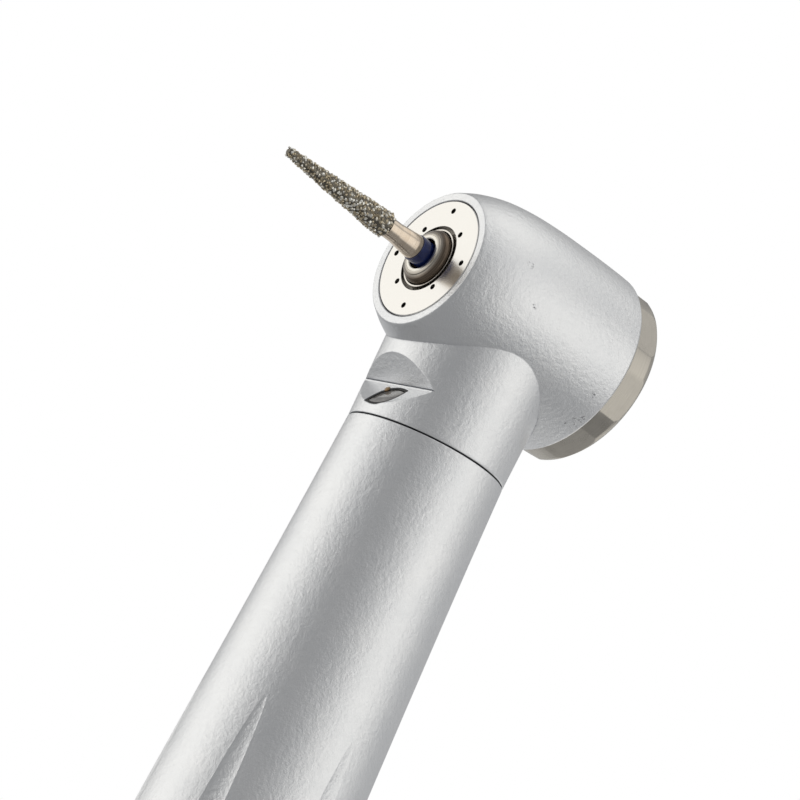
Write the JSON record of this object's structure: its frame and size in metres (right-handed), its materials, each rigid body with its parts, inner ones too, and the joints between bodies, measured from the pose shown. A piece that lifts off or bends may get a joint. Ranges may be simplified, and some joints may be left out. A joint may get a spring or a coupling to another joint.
{
  "type": "high speed dental handpiece",
  "caption": "Air-turbine dental handpiece with push-button chuck, tapered diamond bur, spray face, LED port, fluted bent handle and multi-hole hose connection.",
  "frame": {"origin": "centre of the rear connection face, where the hose coupling seats", "axes": "+X along the rear of the handle towards the head, +Z towards the push button, +Y completes the right-handed frame; the bur points down and forward"},
  "size_m": [0.1324, 0.0158, 0.0343],
  "materials": {
    "satin_metal": "fine bead-blasted satin",
    "face_metal": "bright, nearly polished",
    "cap_metal": "smooth, warm grey steel",
    "bright_steel": "turned and polished",
    "rotor_steel": "turned, brownish grey",
    "spring_steel": "drawn wire",
    "brass": "machined",
    "copper": "enamelled winding",
    "magnet": "sintered, plated",
    "diamond_grit": "coarse diamond grit in nickel",
    "blue_band": "navy enamel band",
    "cage_resin": "phenolic resin",
    "black_rubber": "matt",
    "dark_glass": "polished, dark",
    "led_phosphor": "phosphor over a chip",
    "circuit_board": "solder resist",
    "wire_jacket": "smooth",
    "clear_tube": "translucent"
  },
  "bodies": {
    "handpiece": {"head_shell": "satin_metal", "handle_sleeve": "satin_metal", "face_plate": "face_metal", "dust_ring": "bright_steel", "front_bearing_outer_ring": "bright_steel", "rear_bearing_outer_ring": "bright_steel", "front_o_ring": "black_rubber", "rear_o_ring": "black_rubber", "spring_washer": "spring_steel", "rear_bearing_holder": "cap_metal", "back_cap": "cap_metal", "button_spring": "spring_steel", "light_lens": "dark_glass", "lens_seal": "black_rubber", "led_emitter": "led_phosphor", "led_board": "circuit_board", "led_wire_left": "wire_jacket", "led_wire_right": "wire_jacket", "neck_o_ring": "black_rubber", "drive_air_tube": "bright_steel", "water_tube": "clear_tube", "chip_air_tube": "clear_tube", "drive_inlet_pipe": "bright_steel", "generator_housing": "brass", "generator_end_cap": "brass", "generator_stator": "copper", "generator_rear_bush": "brass", "generator_front_bush": "brass", "rear_connector": "bright_steel", "connector_o_ring": "black_rubber", "rear_collar": "bright_steel"},
    "rotor": {"spindle": "rotor_steel", "impeller": "brass", "front_bearing_inner_ring": "bright_steel", "rear_bearing_inner_ring": "bright_steel", "collet": "rotor_steel", "chuck_spring": "spring_steel", "chuck_retaining_ring": "spring_steel"},
    "front_cage": {"front_bearing_cage": "cage_resin"},
    "rear_cage": {"rear_bearing_cage": "cage_resin"},
    "button": {"push_button": "cap_metal"},
    "drawbar": {"chuck_drawbar": "spring_steel"},
    "bur": {"bur_shank": "bright_steel", "bur_diamond": "diamond_grit", "bur_ring": "blue_band"},
    "generator": {"generator_rotor": "magnet"}
  },
  "joints": [
    {"name": "rotor_spin", "type": "hinge", "parent": "handpiece", "child": "rotor", "pos_m": [0.1278, 0, 0.0106], "axis": [-0.342, 0, 0.9397], "continuous": true},
    {"name": "front_cage_spin", "type": "hinge", "parent": "handpiece", "child": "front_cage", "pos_m": [0.1278, 0, 0.0106], "axis": [-0.342, 0, 0.9397], "continuous": true},
    {"name": "rear_cage_spin", "type": "hinge", "parent": "handpiece", "child": "rear_cage", "pos_m": [0.1278, 0, 0.0106], "axis": [-0.342, 0, 0.9397], "continuous": true},
    {"name": "button_press", "type": "slide", "parent": "handpiece", "child": "button", "axis": [0.342, 0, -0.9397], "range_m": [0, 0.0008], "stiffness_N_per_m": 2500, "springref_m": -0.0008, "deforming": ["button_spring"]},
    {"name": "drawbar_slide", "type": "slide", "parent": "rotor", "child": "drawbar", "axis": [0.342, 0, -0.9397], "range_m": [0, 0.0006], "deforming": ["chuck_spring"]},
    {"name": "bur_pull", "type": "slide", "parent": "rotor", "child": "bur", "axis": [0.342, 0, -0.9397], "range_m": [0, 0.009]},
    {"name": "generator_spin", "type": "hinge", "parent": "handpiece", "child": "generator", "pos_m": [0.02, 0, 0], "axis": [1, 0, 0], "continuous": true}
  ],
  "couplings": [
    {"joint": "front_cage_spin", "follows": "rotor_spin", "ratio": 0.395},
    {"joint": "rear_cage_spin", "follows": "rotor_spin", "ratio": 0.395},
    {"joint": "drawbar_slide", "follows": "button_press", "ratio": 0.75}
  ]
}
